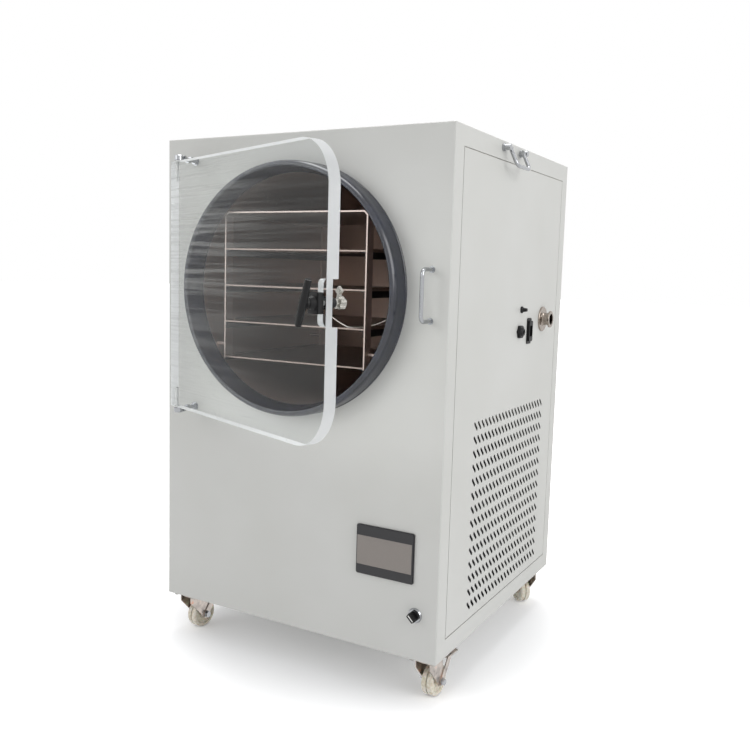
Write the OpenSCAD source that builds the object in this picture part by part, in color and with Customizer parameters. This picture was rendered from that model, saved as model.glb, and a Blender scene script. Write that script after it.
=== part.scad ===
// Bench-side laboratory freeze dryer on casters: a folded-sheet cabinet, a round stainless
// chamber with a heated shelf rack, and a clear acrylic door that hangs on two eye bolts.
// Origin: on the floor, below the middle of the cabinet. +Z up, -Y to the front.

/* [Cabinet] */
// Width of the cabinet
cab_w = 700; // [640:10:860]
// Depth of the cabinet
cab_d = 698; // [660:2:860]
// Height of the cabinet without its casters
cab_h = 1048; // [1020:4:1260]
// Thickness of the folded sheet
sheet_t = 1.5; // [1:0.1:2]
// Outer radius of the sheet folds
fold_r = 3; // [2.2:0.2:5]
// Width of the border that the side panels sit in
border_w = 40; // [36:1:50]
// Gap round each side panel
panel_gap = 2; // [1:0.5:3]
// Side of the square frame tube
tube_w = 25; // [20:1:28]
// Wall of the square frame tube
tube_t = 2; // [1.5:0.5:3]

/* [Ventilation slots] */
// Columns of slots in each side panel
slot_cols = 22; // [8:1:22]
// Rows of slots in each side panel
slot_rows = 14; // [6:1:14]
// Distance between columns
slot_pitch_y = 19.9; // [19:0.1:20]
// Distance between rows
slot_pitch_z = 29.7; // [29:0.1:30]
// Length of a slot from end to end
slot_len = 25; // [16:1:27]
// Width of a slot
slot_w = 7; // [3:0.5:8]
// Height of the lowest row above the cabinet's underside
slot_low = 71; // [66:1:90]

/* [Chamber] */
// Inner radius of the stainless drum
drum_r = 240; // [236:1:246]
// Wall of the drum
drum_t = 3; // [2:0.5:4]
// Depth of the drum behind the cabinet's front
drum_depth = 470; // [450:5:500]
// Height of the drum's axis above the cabinet's underside
chamber_rise = 727; // [715:1:735]
// How far the door seal stands out of the cabinet
seal_proud = 50; // [44:1:56]
// Outer radius of the door seal
seal_r = 260; // [260:1:266]
// Thickness of the insulation round the drum
foam_t = 28; // [20:1:30]

/* [Shelf rack] */
// Width of the rack over its posts
rack_w = 348; // [320:2:354]
// Depth of the rack
rack_d = 400; // [340:5:410]
// Gap between the rack's lower corners and the drum
rack_clear = 8; // [2:0.5:12]
// Thickness of shelves and posts
shelf_t = 3; // [2:0.5:4]
// Height of the black rails under the shelves
rail_h = 14; // [10:1:16]

/* [Door] */
// Thickness of the acrylic pane
door_t = 24; // [20:1:28]
// Height of the pane
door_h = 524; // [522:2:560]
// Distance from the hinge pins to the free edge
door_reach = 568; // [560:1:600]
// Radius of the two corners at the free edge
door_corner_r = 85; // [50:5:100]
// How far the door stands open
door_ajar = 22; // [0:1:90]
// Turn of the latch handle from upright
handle_tilt = 20; // [0:1:45]

/* [Casters] */
// Height from the floor to the cabinet
caster_h = 97; // [92:1:104]
// Radius of the nylon wheels
wheel_r = 32.5; // [30:0.5:35]
// Width of the wheels
wheel_w = 26; // [22:1:28]
// Distance from the swivel axis to the axle
caster_trail = 27; // [24:1:30]
// Distance from the cabinet's sides to the swivel axes
caster_inset_x = 37; // [36:1:60]
// Distance from the cabinet's front to the front swivel axes
caster_inset_front = 44; // [40:1:60]
// Distance from the cabinet's back to the rear swivel axes
caster_inset_rear = 58; // [44:1:70]

/* [Hidden] */
$fn = 64;

// Colours
paint = "#c8cac7";
rubber = "#33343a";
steel = "#8f8378";
chrome = "#c9cbcc";
black = "#1d1d1f";
nylon = "#c9bfa6";
zinc = "#b9b4ad";
copper = "#b87a4b";

// Datums
front_y = -cab_d / 2;
base_z = caster_h;
top_z = base_z + cab_h;
mouth_z = base_z + chamber_rise;
eps = 0.01;          // overrun of a cut past the face it opens

// ---- general shapes ----

// Rectangle with four round corners, centred
module round_rect(w, h, r) {
    square([w - 2 * r, h], center = true);
    square([w, h - 2 * r], center = true);
    for (x = [-1, 1], y = [-1, 1]) translate([x * (w / 2 - r), y * (h / 2 - r)]) circle(r);
}

// Bar along X with its near end at the origin
module x_rod(r, len) rotate([0, 90, 0]) cylinder(r = r, h = len);

// Bar along Y with its near end at the origin
module y_rod(r, len) rotate([-90, 0, 0]) cylinder(r = r, h = len);

// Tube along Z
module pipe(ro, ri, len) difference() {
    cylinder(r = ro, h = len);
    translate([0, 0, -1]) cylinder(r = ri, h = len + 2);
}

// Hexagon prism along Z, given across its flats
module hex(af, h) cylinder(d = af / cos(30), h = h, $fn = 6);

// Quarter bend of a round bar: from +X travel into +Y travel, centre line radius r
module bend(r, bar_r, angle = 90) translate([0, r, 0]) rotate([0, 0, -90])
    rotate_extrude(angle = angle) translate([r, 0]) circle(bar_r);

// Tube of small cross-section swept along a list of points
function unit(v) = v / norm(v);
function heading(p, i) = unit(p[min(i + 1, len(p) - 1)] - p[max(i - 1, 0)]);
function side(p, i) = unit(cross(heading(p, i), [0.31, 0.11, 0.94]));
module swept_tube(p, r, sides = 8) {
    n = len(p);
    pts = [for (i = [0:n - 1], k = [0:sides - 1])
        let (a = 360 * k / sides, s = side(p, i), u = cross(s, heading(p, i)))
        p[i] + r * (cos(a) * s + sin(a) * u)];
    wall = [for (i = [0:n - 2], k = [0:sides - 1])
        let (a = i * sides + k, b = i * sides + (k + 1) % sides) [a, b, b + sides, a + sides]];
    ends = [[for (k = [sides - 1:-1:0]) k], [for (k = [0:sides - 1]) (n - 1) * sides + k]];
    polyhedron(points = pts, faces = concat(wall, ends), convexity = 4);
}

// ---- places ----

// The chamber's mouth: origin on the drum's axis in the plane of the cabinet's front
module at_mouth() translate([0, front_y, mouth_z]) children();

// A point on the cabinet's front, given by its height above the cabinet's underside
module on_front(x, rise) translate([x, front_y, base_z + rise]) children();

// A point on the right side, looking out along +Z of the children
module on_right(back, rise) translate([cab_w / 2, front_y + back, base_z + rise])
    rotate([0, 90, 0]) rotate([0, 0, 90]) children();

// ---- cabinet of folded sheet ----

// Block with all its edges rounded
module soft_block(w, d, h, r) intersection() {
    linear_extrude(h, center = true) round_rect(w, d, r);
    rotate([90, 0, 0]) linear_extrude(d, center = true) round_rect(w, h, r);
    rotate([90, 0, 90]) linear_extrude(w, center = true) round_rect(d, h, r);
}

// The whole outer skin as one shell, from which each cover takes its part
module skin() translate([0, 0, base_z + cab_h / 2]) difference() {
    soft_block(cab_w, cab_d, cab_h, fold_r);
    soft_block(cab_w - 2 * sheet_t, cab_d - 2 * sheet_t, cab_h - 2 * sheet_t, fold_r - sheet_t);
}

mid_d = cab_d - 2 * border_w;                // depth between the front and rear pans
mid_h = cab_h - 2 * border_w;                // height between the top and bottom borders

// Slab of space across the cabinet, from y0 to y1 and z0 to z1
module slab(y0, y1, z0, z1) translate([-cab_w, y0, z0]) cube([2 * cab_w, y1 - y0, z1 - z0]);

hmi_x = 229.9;                               // middle of the touch panel
hmi_rise = 207.5;
hmi_w = 131;
hmi_h = 103;
hmi_cut_w = 121;
hmi_cut_h = 93;
hmi_proud = 5;
selector_x = 301;
selector_rise = 94;
selector_hole_r = 11.2;
flange_r = 255;                              // drum flange that fills the hole in the front
hinge_x = -seal_r - 3.5;                     // axis of the hinge pins, just clear of the seal
catch_len = 98;                              // bar that the latch hooks behind
catch_r = 4;
catch_out = 41;
catch_gap = 2.5;                             // between the bar and the pane's free edge
catch_x = hinge_x + door_reach + catch_gap + catch_r;
catch_screw_r = 2.2;
close_gap = 0.3;                             // between the closed pane and the seal
pin_out = seal_proud + close_gap + door_t / 2;
pin_r = 4;
pin_clear = 0.05;
eye_r = 9.5;
eye_h = 12;
eye_gap = 2.5;                               // nylon shoulder between eye and pane
shank_r = 4;
nut_af = 13;
nut_h = 6.5;
eye_rises = [for (s = [-1, 1]) chamber_rise + s * (door_h / 2 + eye_gap + eye_h / 2)];

module front_panel() color(paint) difference() {
    intersection() {
        skin();
        slab(front_y - 1, front_y + border_w, base_z - 1, top_z + 1);
    }
    at_mouth() y_rod(flange_r + 0.5, 3 * sheet_t, $fn = 128);
    on_front(hmi_x, hmi_rise) cube([hmi_cut_w, 6 * sheet_t, hmi_cut_h], center = true);
    on_front(selector_x, selector_rise) translate([0, -eps, 0]) y_rod(selector_hole_r, 3 * sheet_t);
    for (s = [-1, 1]) on_front(catch_x, chamber_rise + s * catch_len / 2)
        translate([0, -eps, 0]) y_rod(catch_screw_r + 0.3, 3 * sheet_t);
    for (r = eye_rises) on_front(hinge_x, r) translate([0, -eps, 0]) y_rod(shank_r + 0.3, 3 * sheet_t);
}

module rear_panel() color(paint) difference() {
    intersection() {
        skin();
        slab(-front_y - border_w, -front_y + 1, base_z - 1, top_z + 1);
    }
    for (p = rear_screws) translate([p[0], -front_y - 3 * sheet_t, p[1]]) y_rod(screw_r + 0.3, 6 * sheet_t);
}

module top_cover() color(paint) difference() {
    intersection() {
        skin();
        slab(-mid_d / 2, mid_d / 2, top_z - border_w, top_z + 1);
    }
    for (s = [-1, 1], y = bail_ys) translate([s * cab_w / 2, y, bail_z])
        rotate([0, 90, 0]) cylinder(r = boss_screw_r + 0.3, h = 6 * sheet_t, center = true);
}

module base_tray() color(paint) intersection() {
    skin();
    slab(-mid_d / 2, mid_d / 2, base_z - 1, base_z + border_w);
}

// ---- side panels with slanted slots ----

panel_d = mid_d - 2 * panel_gap;
panel_h = mid_h - 2 * panel_gap;
slot_mid_y = 15.6;                           // middle of the slot field behind the panel's middle
lip_in = 17;                                 // locating lip, from the panel's edge
lip_h = 12;
lip_t = 1.2;

module slot() rotate([0, 0, 45]) {
    square([slot_len - slot_w, slot_w], center = true);
    for (s = [-1, 1]) translate([s * (slot_len - slot_w) / 2, 0]) circle(slot_w / 2, $fn = 16);
}

// Panel outline seen from its outer side: x to the back, y up
module panel_face(holes) difference() {
    round_rect(panel_d, panel_h, 2);
    for (c = [0:slot_cols - 1], r = [0:slot_rows - 1])
        translate([slot_mid_y + (c - (slot_cols - 1) / 2) * slot_pitch_y,
                   slot_low + r * slot_pitch_z - cab_h / 2]) mirror([1, 0]) slot();
    if (holes) for (p = port_holes)
        translate([p[0] - cab_d / 2, p[1] - cab_h / 2]) circle(p[2]);
}

module side_panel(holes) {
    rotate([90, 0, 90]) translate([0, 0, -sheet_t]) {
        linear_extrude(sheet_t) panel_face(holes);
        translate([0, 0, -lip_h]) linear_extrude(lip_h) difference() {
            square([panel_d - 2 * lip_in, panel_h - 2 * lip_in], center = true);
            square([panel_d - 2 * lip_in - 2 * lip_t, panel_h - 2 * lip_in - 2 * lip_t], center = true);
        }
    }
}

module right_side_panel() color(paint) translate([cab_w / 2, 0, base_z + cab_h / 2]) side_panel(true);

module left_side_panel() color(paint) mirror([1, 0, 0])
    translate([cab_w / 2, 0, base_z + cab_h / 2]) side_panel(false);

// ---- frame ----

ring_t = 2;
ring_w = border_w + 15 - sheet_t;            // backs the border and the panel's edge
frame_w = cab_w - 2 * sheet_t;
frame_d = cab_d - 2 * sheet_t;
frame_h = cab_h - 2 * sheet_t;
foam_r = drum_r + drum_t + foam_t;
beam_rise = chamber_rise - foam_r;           // top of the beams that carry the drum
beam_ys = [front_y + 90, front_y + 410];
post_x = (frame_w - tube_w) / 2 - ring_t;
post_y = (frame_d - tube_w) / 2;
rail_x = post_x - 12;                        // side rails stand clear of the panels' lips

// Square tube along Z, centred
module tube(len) linear_extrude(len, center = true) difference() {
    square(tube_w, center = true);
    square(tube_w - 2 * tube_t, center = true);
}

module side_ring() rotate([90, 0, 90]) linear_extrude(ring_t) difference() {
    square([frame_d, frame_h], center = true);
    square([frame_d - 2 * ring_w, frame_h - 2 * ring_w], center = true);
}

module frame() color(zinc) difference() {
    translate([0, 0, base_z + cab_h / 2]) intersection() {
        soft_block(frame_w, frame_d, frame_h, fold_r - sheet_t);
        frame_tubes();
    }
    for (p = rear_screws) translate([p[0], -front_y - 12, p[1]]) y_rod(screw_r + 0.05, 12);
}

module frame_tubes() {
    for (s = [0, 1]) mirror([s, 0, 0]) translate([frame_w / 2 - ring_t, 0, 0]) side_ring();
    for (y = [-1, 1], z = [-1, 1]) translate([0, y * post_y, z * (frame_h - tube_w) / 2])
        rotate([0, 90, 0]) tube(frame_w - 2 * ring_t);
    for (x = [-1, 1], y = [-1, 1]) translate([x * post_x, y * post_y, 0]) tube(frame_h - 2 * tube_w);
    translate([0, 0, beam_rise - cab_h / 2 - tube_w / 2]) {
        for (x = [-1, 1]) translate([x * rail_x, 0, 0]) rotate([90, 0, 0]) tube(2 * post_y - tube_w);
        for (y = beam_ys) translate([0, y, 0]) rotate([0, 90, 0]) tube(2 * rail_x - tube_w);
    }
}

// ---- chamber, seal and shelves ----

carrier_r = 249;                             // rolled lip that carries the seal
carrier_t = 3;
carrier_len = 38;
flange_t = 5;
rim_out = 1.5;
outlet_x = 150;                              // suction outlet in the drum's back
outlet_z = -61;
outlet_r = 14;

module chamber() color(steel) at_mouth() difference() {
    union() {
        translate([0, -rim_out, 0]) y_rod(drum_r + drum_t, drum_depth + rim_out, $fn = 128);
        translate([0, -rim_out, 0]) y_rod(flange_r, flange_t, $fn = 128);
        translate([0, -rim_out - carrier_len, 0]) rotate([-90, 0, 0])
            pipe(carrier_r + carrier_t, carrier_r, carrier_len + 1, $fn = 128);
    }
    translate([0, -rim_out - 1, 0]) y_rod(drum_r, drum_depth + rim_out - 5 + 1, $fn = 128);
    translate([outlet_x, drum_depth - 10, outlet_z]) y_rod(outlet_r, 20);
}

seal_fit = 0.2;
seal_lip = 1.2;                              // how far the rubber laps inside the drum
crest_r = seal_r - 10;
shoulder_y = 16;

// Half section of the seal: x is the radius, y is the distance out of the cabinet
module seal_section() difference() {
    polygon(concat(
        [[drum_r - seal_lip, rim_out], [flange_r + 1, rim_out], [flange_r + 1, 0], [seal_r, 0]],
        [[seal_r, 3], [seal_r - 0.8, 4]],
        [for (a = [0:9:90]) [crest_r + (seal_r - 0.8 - crest_r) * cos(a),
                             seal_proud - shoulder_y + shoulder_y * sin(a)]],
        [for (a = [22.5:22.5:67.5]) [crest_r - 4 * sin(a), seal_proud - 4 + 4 * cos(a)]],
        [[crest_r - 4.2, seal_proud - 5]]));
    translate([carrier_r - seal_fit, 0]) square([carrier_t + 2 * seal_fit, rim_out + carrier_len + seal_fit]);
}

module door_seal() color(rubber) at_mouth() rotate([90, 0, 0]) rotate_extrude($fn = 128) seal_section();

rack_front = -9;
post_d = 24;
post_foot = 2;                               // post below the lowest shelf
chamfer = 8;
rack_drop = sqrt(pow(drum_r - rack_clear, 2) - pow(rack_w / 2, 2));
rack_low = post_foot - rack_drop;            // underside of the lowest shelf, from the drum's axis
rack_top = rack_drop + chamfer - 1;          // the chamfered corners stand higher in the drum
shelf_pitch = (rack_top - shelf_t - rack_low) / 4;
rail_w = 10;
rail_t = 2;
low_rail_h = 6;                              // the lowest pair must clear the drum
peg_r = 4;
peg_z = rack_low + 27.5;
rear_post_y = rack_front + rack_d - post_d;

// One wide strap: up one side, over the chamfers and down the other
module rack_strap(low) {
    w = rack_w / 2;
    polygon([[-w, low], [-w, rack_top - chamfer], [-w + chamfer, rack_top], [w - chamfer, rack_top],
             [w, rack_top - chamfer], [w, low], [w - shelf_t, low], [w - shelf_t, rack_top - chamfer - 1],
             [w - chamfer - 1, rack_top - shelf_t], [-w + chamfer + 1, rack_top - shelf_t],
             [-w + shelf_t, rack_top - chamfer - 1], [-w + shelf_t, low]]);
}

// Angle rail along Y under a shelf, its upright leg against the posts
module rail(h) {
    translate([-rail_t, 0, -h]) cube([rail_t, rack_d, h]);
    translate([-rail_w, 0, -rail_t]) cube([rail_w, rack_d, rail_t]);
}

module rack_frame() color("#6f5f54") at_mouth() {
    for (y = [rack_front, rear_post_y]) translate([0, y + post_d, 0]) rotate([90, 0, 0])
        linear_extrude(post_d) rack_strap(rack_low - post_foot);
    translate([0, rack_front + rack_d - post_d, 0]) rotate([90, 0, 0])
        linear_extrude(rack_d - 2 * post_d) rack_strap(rack_top - chamfer - 2);
    for (s = [-1, 1], y = [rack_front + post_d - peg_r - 0.5, rear_post_y + peg_r + 2]) intersection() {
        translate([s < 0 ? -drum_r : rack_w / 2, y, peg_z]) x_rod(peg_r, drum_r - rack_w / 2);
        y_rod(drum_r, drum_depth, $fn = 128);
    }
}

function level(i) = rack_low + i * shelf_pitch;

module rack_rails() color(black) at_mouth() for (s = [-1, 1], i = [0:3])
    translate([s * (rack_w / 2 - shelf_t), rack_front, level(i)]) scale([s, 1, 1])
        rail(i == 0 ? low_rail_h : rail_h);

shelf_fit = 0.5;
shelf_w = rack_w - 2 * shelf_t - 2 * shelf_fit;

// Heated shelf: a plate with turned-up side edges, resting on its two rails
module shelf(i) color("#c9b0a4") at_mouth() translate([0, rack_front, level(i)]) difference() {
    union() {
        translate([-shelf_w / 2, 0, 0]) cube([shelf_w, rack_d, shelf_t]);
        for (s = [-1, 1]) translate([s * (shelf_w / 2 - 1), rack_d / 2, shelf_t + 2])
            cube([2, rack_d - 60, 4 + eps], center = true);
    }
    for (s = [-1, 1]) translate([s * (shelf_w / 2 - 20), rack_d - 20, -1]) cylinder(r = 4, h = shelf_t + 2);
}

heater_t = 2;
module shelf_heaters() color(black) at_mouth() for (i = [0:3])
    translate([0, rack_front + rack_d / 2, level(i) - heater_t]) difference() {
        linear_extrude(heater_t) round_rect(shelf_w - 60, rack_d - 50, 6);
        translate([0, 0, -1]) cylinder(r = 6, h = heater_t + 2);
    }

// Thin temperature lead from the drum's wall over the second shelf, by its own points
lead_r = 1;
lead_route = [
    [231.7, 60, -62.1], [222, 59, -59], [212, 56, -55], [202, 51, -52.5], [192, 45, -54.5], [182, 39.5, -60],
    [172, 34, -64.6], [166, 31, -66.3], [160, 27.5, -68.8], [153, 21, -70.1], [147, 8, -70.1],
    [141, -4, -70.1], [134, -9, -69.2], [127, -10, -66.2], [118, -9.5, -62.5], [108, -8, -58],
    [96, -6, -52], [86, -2, -47.5], [76, 8, -46], [66, 22, -49], [57, 38, -55], [47, 56, -62],
    [35, 74, -67.5], [24, 94, -70], [18, 110, -70.1]
];
module probe_lead() color("white") at_mouth() swept_tube(lead_route, lead_r);

// ---- controls on the front ----

module hmi_bezel() color(black) on_front(hmi_x, hmi_rise) rotate([90, 0, 0]) difference() {
    union() {
        linear_extrude(hmi_proud - 1.5) round_rect(hmi_w, hmi_h, 4);
        linear_extrude(hmi_proud) round_rect(hmi_w - 2, hmi_h - 2, 3);
        translate([0, 0, -38]) linear_extrude(38 + eps) round_rect(hmi_cut_w - 1, hmi_cut_h - 1, 2);
    }
    translate([screen_dx, screen_dz, hmi_proud - 1]) linear_extrude(2) square([screen_w, screen_h],
        center = true);
}

screen_w = 125;
screen_h = 61;
screen_dx = -1;
screen_dz = -1;
module hmi_screen() color("#8c857f") on_front(hmi_x, hmi_rise) rotate([90, 0, 0])
    translate([screen_dx, screen_dz, hmi_proud - 1]) linear_extrude(0.8)
        square([screen_w - 0.4, screen_h - 0.4], center = true);

bezel_r = 15;
bezel_h = 5;
knob_r = 10;
turn_clear = 0.08;                           // radial clearance of turning shafts
module selector_body() color(chrome) on_front(selector_x, selector_rise) rotate([90, 0, 0])
    rotate_extrude() difference() {
        polygon([[0, -40], [10.8, -40], [10.8, 0], [bezel_r, 0], [bezel_r, 1.5],
                 [bezel_r - 1.8, bezel_h], [0, bezel_h]]);
        translate([0, -14]) square([knob_r + turn_clear, 40]);
    }

grip_w = 9;
grip_l = 20.4;
module selector_knob() color(black) on_front(selector_x, selector_rise) rotate([90, 0, 0])
    rotate([0, 0, 135]) {
        translate([0, 0, -13]) cylinder(r = knob_r, h = 13 + 7);
        translate([0, 0, 7 - eps]) intersection() {
            linear_extrude(14) round_rect(grip_l, grip_w, 3);
            cylinder(r1 = 11.5, r2 = 9.5, h = 14);
        }
    }

catch_bend = 12;
module catch_bar() color(chrome) on_front(catch_x, chamber_rise) for (s = [1, -1]) scale([1, 1, s]) {
    translate([0, -catch_out + catch_bend, catch_len / 2]) y_rod(catch_r, catch_out - catch_bend);
    translate([0, -1.5, catch_len / 2]) y_rod(catch_r + 2.5, 1.5);
    translate([0, -catch_out + catch_bend, catch_len / 2 - catch_bend]) rotate([0, -90, 0])
        rotate([0, 0, -90]) rotate_extrude(angle = 90) translate([catch_bend, 0]) circle(catch_r);
    translate([0, -catch_out, 0]) cylinder(r = catch_r, h = catch_len / 2 - catch_bend);
    translate([0, -1, catch_len / 2]) y_rod(catch_screw_r, 1 + sheet_t + 8);
}

// ---- door and its hinges ----

// Eye bolt: ring round the pin, threaded shank into the cabinet, four nuts and a washer
module eye_bolt() color(chrome) {
    difference() {
        union() {
            translate([0, 0, -eye_h / 2]) rotate_extrude() polygon([[0, 0], [eye_r - 1.5, 0], [eye_r, 1.5],
                [eye_r, eye_h - 1.5], [eye_r - 1.5, eye_h], [0, eye_h]]);
            y_rod(shank_r, pin_out + 30);
            for (y = [12, 34]) translate([0, y, 0]) rotate([-90, 0, 0]) hex(nut_af, nut_h);
            translate([0, pin_out - 1.6 - nut_h, 0]) rotate([-90, 0, 0]) hex(nut_af, nut_h);
            translate([0, pin_out - 1.6, 0]) y_rod(9, 1.6);
            translate([0, pin_out + sheet_t, 0]) rotate([-90, 0, 0]) hex(nut_af, nut_h);
        }
        translate([0, 0, -eye_h]) cylinder(r = pin_r + pin_clear, h = 2 * eye_h);
    }
}

module hinge_eyes() for (r = eye_rises) translate([hinge_x, front_y - pin_out, base_z + r]) eye_bolt();

pin_depth = 40;                              // how far each pin reaches into the pane

// Door's own frame: origin on the pin axis at mid height, +X to the free edge when closed
module at_door() translate([hinge_x, front_y - pin_out, mouth_z]) rotate([0, 0, -door_ajar]) children();

module hinge_pins() color("#e8e8e4") at_door() for (s = [1, -1]) scale([1, 1, s])
    translate([0, 0, door_h / 2]) {
        translate([0, 0, -pin_depth]) cylinder(r = pin_r, h = pin_depth + eye_gap + eye_h + 1);
        translate([0, 0, 0.1]) cylinder(r = eye_r - 1, h = eye_gap - 0.2);
    }

door_over = 12;                              // pane beyond the pin axis
latch_in = 22;                               // latch axis from the free edge
latch_drop = 12;                             // latch axis below the middle of the pane
hook_len = latch_in + catch_gap + catch_r;    // the finger reaches the middle of the catch bar
finger_in = 1;                               // finger's outer face from the end of the star nut
pocket_d = 39;
pocket_h = 80;
pocket_r = 10;
pocket_cut = 11.2;
spindle_r = 4;

// Pane outline: square corners at the hinges, large radii at the free edge
module pane_outline() {
    translate([-door_over, -door_h / 2]) square([door_over + door_reach - door_corner_r, door_h]);
    translate([0, -door_h / 2 + door_corner_r]) square([door_reach, door_h - 2 * door_corner_r]);
    for (s = [-1, 1]) translate([door_reach - door_corner_r, s * (door_h / 2 - door_corner_r)])
        circle(door_corner_r, $fn = 96);
}

module door_pane() color("#dfe5e6", 0.35) at_door() difference() {
    rotate([90, 0, 0]) linear_extrude(door_t, center = true) pane_outline();
    translate([door_reach - pocket_d, door_t / 2, -latch_drop]) rotate([90, 0, 0])
        translate([pocket_d / 2 + pocket_r, 0, -1]) linear_extrude(pocket_cut + 1)
            round_rect(pocket_d + 2 * pocket_r, pocket_h, pocket_r);
    translate([door_reach - latch_in, -door_t, -latch_drop]) y_rod(spindle_r + 0.3, 2 * door_t);
    for (s = [1, -1]) scale([1, 1, s]) translate([0, 0, door_h / 2 - pin_depth])
        cylinder(r = pin_r + pin_clear, h = pin_depth + 1);
}

// Latch frame: on its spindle, +Y through the pane from its outer face
module at_latch() at_door() translate([door_reach - latch_in, -door_t / 2, -latch_drop]) children();

base_w = 30;
base_h = 36;
base_t = 12;
hub_out = 21;
module latch_base() color(black) at_latch() rotate([90, 0, 0]) difference() {
    union() {
        linear_extrude(base_t - 1.5) round_rect(base_w, base_h, 3);
        linear_extrude(base_t) round_rect(base_w - 3, base_h - 3, 2);
        translate([0, 0, base_t - eps]) cylinder(r1 = 13, r2 = 9.5, h = hub_out - base_t);
    }
    translate([0, 0, -1]) cylinder(r = spindle_r + turn_clear, h = hub_out + 2);
}

floor_at = door_t - pocket_cut;              // floor of the pocket, from the outer face
hook_gap = 2.7;                              // between the closed latch's finger and the catch bar
nut_at = pin_out + door_t / 2 - catch_out + catch_r + hook_gap - finger_in;
bush_end = nut_at - 7;
module latch_bush() color(black) at_latch() translate([0, floor_at, 0]) rotate([-90, 0, 0]) difference() {
    union() {
        cylinder(r = 11, h = bush_end - floor_at - 6);
        cylinder(r = 8, h = bush_end - floor_at);
    }
    translate([0, 0, -1]) cylinder(r = spindle_r + turn_clear, h = bush_end);
}

bar_len = 81;
bar_out = 30;
module latch_handle() color(black) at_latch() rotate([0, handle_tilt, 0]) difference() {
    union() {
        translate([0, -hub_out - 0.3, 0]) rotate([90, 0, 0]) cylinder(r1 = 8.5, r2 = 7.5,
            h = bar_out - hub_out - 4);
        for (s = [-1, 1]) translate([0, -bar_out, 0]) rotate([s > 0 ? 0 : 180, 0, 0])
            cylinder(r1 = 7.5, r2 = 5.5, h = bar_len / 2);
    }
    translate([0, -bar_out + 3, 0]) y_rod(spindle_r, bar_out);
}

nut_len = 13;
spindle_end = nut_at + nut_len + 2;
module latch_spindle() color(chrome) at_latch() {
    translate([0, -bar_out + 3, 0]) y_rod(spindle_r, bar_out - 3 + spindle_end);
    translate([0, bush_end + 0.3, 0]) rotate([-90, 0, 0]) difference() {
        hex(nut_af, nut_at - bush_end - 0.3);
        translate([0, 0, -1]) cylinder(r = spindle_r, h = nut_at);
    }
}

lobes = 5;
module latch_hook() color(chrome) at_latch() translate([0, nut_at, 0]) rotate([-90, 0, 0]) difference() {
    union() {
        cylinder(r = 9, h = nut_len);
        for (i = [0:lobes - 1]) rotate([0, 0, 360 / lobes * (i + 0.5) + 90]) translate([8, 0, 0])
            cylinder(r = 4, h = nut_len - 2);
        translate([-3.5, -hook_len + 9, finger_in]) cube([7, hook_len - 9, 5]);
        translate([0, -hook_len + 8.5, finger_in]) rotate([0, 0, 45]) translate([-6, -6, 0])
            cube([12, 12, 5.2]);
    }
    translate([0, 0, -1]) cylinder(r = spindle_r, h = nut_len + 2);
}

// ---- lifting bails on both sides ----

bail_mid = front_y + 292;
bail_span = 104;
bail_ys = [bail_mid - bail_span / 2, bail_mid + bail_span / 2];
bail_z = top_z - 15;
boss_out = 17;
boss_r = 8;
boss_screw_r = 3;
bail_r = 4;
bail_arm = 40;
bail_eye_w = 9;
bail_lean = 25;                              // bail rests on its stop at this angle from the wall
bail_pin_r = 2.5;
bail_at = 11;                                // pivot, from the cabinet's side

module boss_pair() for (s = [-1, 1]) translate([cab_w / 2, bail_mid + s * bail_span / 2, bail_z]) {
    difference() {
        union() {
            x_rod(boss_r, 4);
            x_rod(boss_r - 1.5, boss_out);
            translate([-sheet_t, 0, 0]) x_rod(boss_screw_r, 2 * sheet_t);
        }
        translate([bail_at, -s * boss_r, 0]) rotate([-90, 0, 0])
            cylinder(r = bail_pin_r + turn_clear, h = 2 * boss_r, center = true);
    }
}

module handle_bosses() color(chrome) {
    boss_pair();
    mirror([1, 0, 0]) boss_pair();
}

// Bail in its own frame: pivot axis along Y, arms hang down
module bail() {
    half = bail_span / 2 - boss_r - 1;
    arm_y = half - bail_eye_w / 2;
    bend_r = 10;
    for (s = [1, -1]) scale([1, s, 1]) {
        translate([0, half - 2, 0]) y_rod(bail_pin_r, 7);
        translate([0, half - bail_eye_w, 0]) y_rod(bail_r + 0.8, bail_eye_w);
        translate([0, arm_y, -bail_arm + bend_r]) cylinder(r = bail_r, h = bail_arm - bend_r);
        translate([0, arm_y - bend_r, -bail_arm + bend_r]) rotate([0, 90, 0])
            rotate_extrude(angle = 90) translate([bend_r, 0]) circle(bail_r);
        translate([0, 0, -bail_arm]) y_rod(bail_r, arm_y - bend_r);
    }
}

module bail_right() color(chrome) translate([cab_w / 2 + bail_at, bail_mid, bail_z]) rotate([0,
    -bail_lean, 0]) bail();

module bail_left() color(chrome) mirror([1, 0, 0])
    translate([cab_w / 2 + bail_at, bail_mid, bail_z]) rotate([0, -bail_lean, 0]) bail();

// ---- connections on the right side: [distance back, rise, hole radius] ----

port_at = [550, 666];
gland_at = [390, 642];
inlet_at = [454, 641];
plug_at = [399, 692];
port_tube_r = 13.1;                          // bore for a 25 mm small-flange centring ring
port_tail = 30;
port_holes = [
    [port_at[0], port_at[1], 16.5], [gland_at[0], gland_at[1], 10.3],
    [inlet_at[0], inlet_at[1], 11.5], [plug_at[0], plug_at[1], 6.3]
];

module vacuum_port() color(chrome) on_right(port_at[0], port_at[1]) rotate_extrude($fn = 96) polygon([
    [port_tube_r, -port_tail], [16, -port_tail], [16, 0], [30, 0], [30, 2.5], [29, 3.5], [18, 3.5], [15.5,
        5.5],
    [14.8, 8], [14.8, 18], [20, 19.4], [20, 22.5], [19.5, 23], [port_tube_r, 23]]);

module cable_gland() color(black) on_right(gland_at[0], gland_at[1]) difference() {
    union() {
        translate([0, 0, -10]) cylinder(r = 10, h = 10 + eps);
        intersection() {
            hex(28, 8);
            cylinder(r1 = 17.5, r2 = 14, h = 8);
        }
        translate([0, 0, 8 - eps]) cylinder(r1 = 11, r2 = 8, h = 4);
    }
    translate([0, 0, 4]) cylinder(r = 5.5, h = 20);
}

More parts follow.
